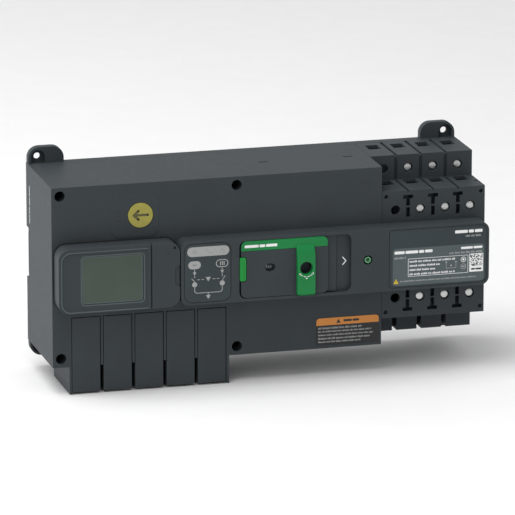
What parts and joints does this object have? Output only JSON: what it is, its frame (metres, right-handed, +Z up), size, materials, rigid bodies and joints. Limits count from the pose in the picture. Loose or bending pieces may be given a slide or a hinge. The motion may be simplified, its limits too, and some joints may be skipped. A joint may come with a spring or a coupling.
{
  "type": "automatic transfer switch",
  "caption": "Modular automatic transfer switch with a display controller, a sliding mode cover over the manual drive, plug-in function modules and stepped power terminals.",
  "frame": {"origin": "middle of the rail seat in the back, on the centre line of the 45 mm nose", "axes": "+X along the rail towards the power terminals, +Y back into the wall, +Z up"},
  "size_m": [0.3086, 0.0955, 0.158],
  "materials": {
    "housing_plastic": "fine moulded texture, dark grey",
    "module_plastic": "fine moulded texture, dark grey",
    "green_plastic": "satin green",
    "lens_green": "clear green light guide",
    "yellow_plastic": "satin yellow",
    "label_grey": "printed film",
    "label_warning": "printed film, orange and black",
    "lcd": "grey-green display",
    "nylon": "natural nylon",
    "circuit_board": "solder mask",
    "coil": "enamelled winding",
    "steel": "zinc plated",
    "screw_steel": "bright zinc plated",
    "copper": "bright copper"
  },
  "bodies": {
    "housing": {"rear_base": "housing_plastic", "front_cover": "housing_plastic", "terminal_housing": "housing_plastic", "controller_body": "housing_plastic", "status_light_pipe": "lens_green", "rating_label": "label_grey", "mimic_panel": "label_grey", "warning_label": "label_warning", "lcd_glass": "lcd", "lcd_module": "nylon", "controller_board": "circuit_board", "power_board": "circuit_board", "actuator_coil_upper": "coil", "actuator_coil_lower": "coil", "service_port": "steel", "actuator_frame": "steel", "cover_screw_1": "steel", "cover_screw_2": "steel", "cover_screw_3": "steel", "cover_screw_4": "steel", "arc_chute_1": "steel", "arc_chute_2": "steel", "arc_chute_3": "steel", "source_one_contact_1": "copper", "source_one_contact_2": "copper", "source_one_contact_3": "copper", "source_two_contact_1": "copper", "source_two_contact_2": "copper", "source_two_contact_3": "copper", "load_contact_1": "copper", "load_contact_2": "copper", "load_contact_3": "copper"},
    "mode_slider": {"slider_cover": "housing_plastic", "slider_trim": "green_plastic"},
    "lock_tab": {"lock_tab": "green_plastic"},
    "drive_spindle": {"drive_spindle": "steel"},
    "transfer_shaft": {"transfer_shaft": "steel", "moving_contact_1": "copper", "moving_contact_2": "copper", "moving_contact_3": "copper"},
    "actuator_plunger": {"actuator_plunger": "steel"},
    "controller_flap": {"controller_flap": "housing_plastic"},
    "selector_dial": {"selector_dial": "yellow_plastic"},
    "rail_latch": {"rail_latch": "nylon"},
    "function_module_1": {"function_module_1": "module_plastic"},
    "function_module_2": {"function_module_2": "module_plastic"},
    "function_module_3": {"function_module_3": "module_plastic"},
    "function_module_4": {"function_module_4": "module_plastic"},
    "function_module_5": {"function_module_5": "module_plastic"},
    "source_one_screw_1": {"source_one_screw_1": "screw_steel"},
    "source_one_screw_2": {"source_one_screw_2": "screw_steel"},
    "source_one_screw_3": {"source_one_screw_3": "screw_steel"},
    "source_two_screw_1": {"source_two_screw_1": "screw_steel"},
    "source_two_screw_2": {"source_two_screw_2": "screw_steel"},
    "source_two_screw_3": {"source_two_screw_3": "screw_steel"},
    "load_screw_1": {"load_screw_1": "screw_steel"},
    "load_screw_2": {"load_screw_2": "screw_steel"},
    "load_screw_3": {"load_screw_3": "screw_steel"}
  },
  "joints": [
    {"name": "slider_travel", "type": "slide", "parent": "housing", "child": "mode_slider", "axis": [1, 0, 0], "range_m": [0, 0.016]},
    {"name": "lock_tab_pull", "type": "slide", "parent": "housing", "child": "lock_tab", "axis": [0, -1, 0], "range_m": [0, 0.01]},
    {"name": "spindle_turn", "type": "hinge", "parent": "housing", "child": "drive_spindle", "pos_m": [0.037, -0.06, -0.0005], "axis": [0, 1, 0], "range_deg": [-45, 45]},
    {"name": "transfer_turn", "type": "hinge", "parent": "housing", "child": "transfer_shaft", "pos_m": [0.1, -0.036, -0.0005], "axis": [1, 0, 0], "range_deg": [-30, 30]},
    {"name": "plunger_travel", "type": "slide", "parent": "housing", "child": "actuator_plunger", "axis": [0, 0, 1], "range_m": [-0.00848, 0.00848]},
    {"name": "flap_hinge", "type": "hinge", "parent": "housing", "child": "controller_flap", "pos_m": [-0.08615, -0.08475, 0.0002], "axis": [0, 0, -1], "range_deg": [0, 100]},
    {"name": "dial_turn", "type": "hinge", "parent": "housing", "child": "selector_dial", "pos_m": [-0.0921, -0.072, 0.0404], "axis": [0, -1, 0], "range_deg": [-90, 90]},
    {"name": "latch_travel", "type": "slide", "parent": "housing", "child": "rail_latch", "axis": [0, 0, -1], "range_m": [0, 0.005], "stiffness_N_per_m": 600},
    {"name": "module_1_pull", "type": "slide", "parent": "housing", "child": "function_module_1", "axis": [0, -1, 0], "range_m": [0, 0.04]},
    {"name": "module_2_pull", "type": "slide", "parent": "housing", "child": "function_module_2", "axis": [0, -1, 0], "range_m": [0, 0.04]},
    {"name": "module_3_pull", "type": "slide", "parent": "housing", "child": "function_module_3", "axis": [0, -1, 0], "range_m": [0, 0.04]},
    {"name": "module_4_pull", "type": "slide", "parent": "housing", "child": "function_module_4", "axis": [0, -1, 0], "range_m": [0, 0.04]},
    {"name": "module_5_pull", "type": "slide", "parent": "housing", "child": "function_module_5", "axis": [0, -1, 0], "range_m": [0, 0.04]},
    {"name": "source_one_screw_1_turn", "type": "hinge", "parent": "housing", "child": "source_one_screw_1", "pos_m": [0.10785, -0.06, 0.0314], "axis": [0, -1, 0], "continuous": true},
    {"name": "source_one_screw_2_turn", "type": "hinge", "parent": "housing", "child": "source_one_screw_2", "pos_m": [0.12585, -0.06, 0.0314], "axis": [0, -1, 0], "continuous": true},
    {"name": "source_one_screw_3_turn", "type": "hinge", "parent": "housing", "child": "source_one_screw_3", "pos_m": [0.14385, -0.06, 0.0314], "axis": [0, -1, 0], "continuous": true},
    {"name": "source_two_screw_1_turn", "type": "hinge", "parent": "housing", "child": "source_two_screw_1", "pos_m": [0.10785, -0.035, 0.0534], "axis": [0, -1, 0], "continuous": true},
    {"name": "source_two_screw_2_turn", "type": "hinge", "parent": "housing", "child": "source_two_screw_2", "pos_m": [0.12585, -0.035, 0.0534], "axis": [0, -1, 0], "continuous": true},
    {"name": "source_two_screw_3_turn", "type": "hinge", "parent": "housing", "child": "source_two_screw_3", "pos_m": [0.14385, -0.035, 0.0534], "axis": [0, -1, 0], "continuous": true},
    {"name": "load_screw_1_turn", "type": "hinge", "parent": "housing", "child": "load_screw_1", "pos_m": [0.10785, -0.06, -0.0314], "axis": [0, -1, 0], "continuous": true},
    {"name": "load_screw_2_turn", "type": "hinge", "parent": "housing", "child": "load_screw_2", "pos_m": [0.12585, -0.06, -0.0314], "axis": [0, -1, 0], "continuous": true},
    {"name": "load_screw_3_turn", "type": "hinge", "parent": "housing", "child": "load_screw_3", "pos_m": [0.14385, -0.06, -0.0314], "axis": [0, -1, 0], "continuous": true}
  ],
  "couplings": [
    {"joint": "spindle_turn", "follows": "plunger_travel", "rad_per_m": 92.56},
    {"joint": "transfer_turn", "follows": "plunger_travel", "rad_per_m": 61.707}
  ]
}
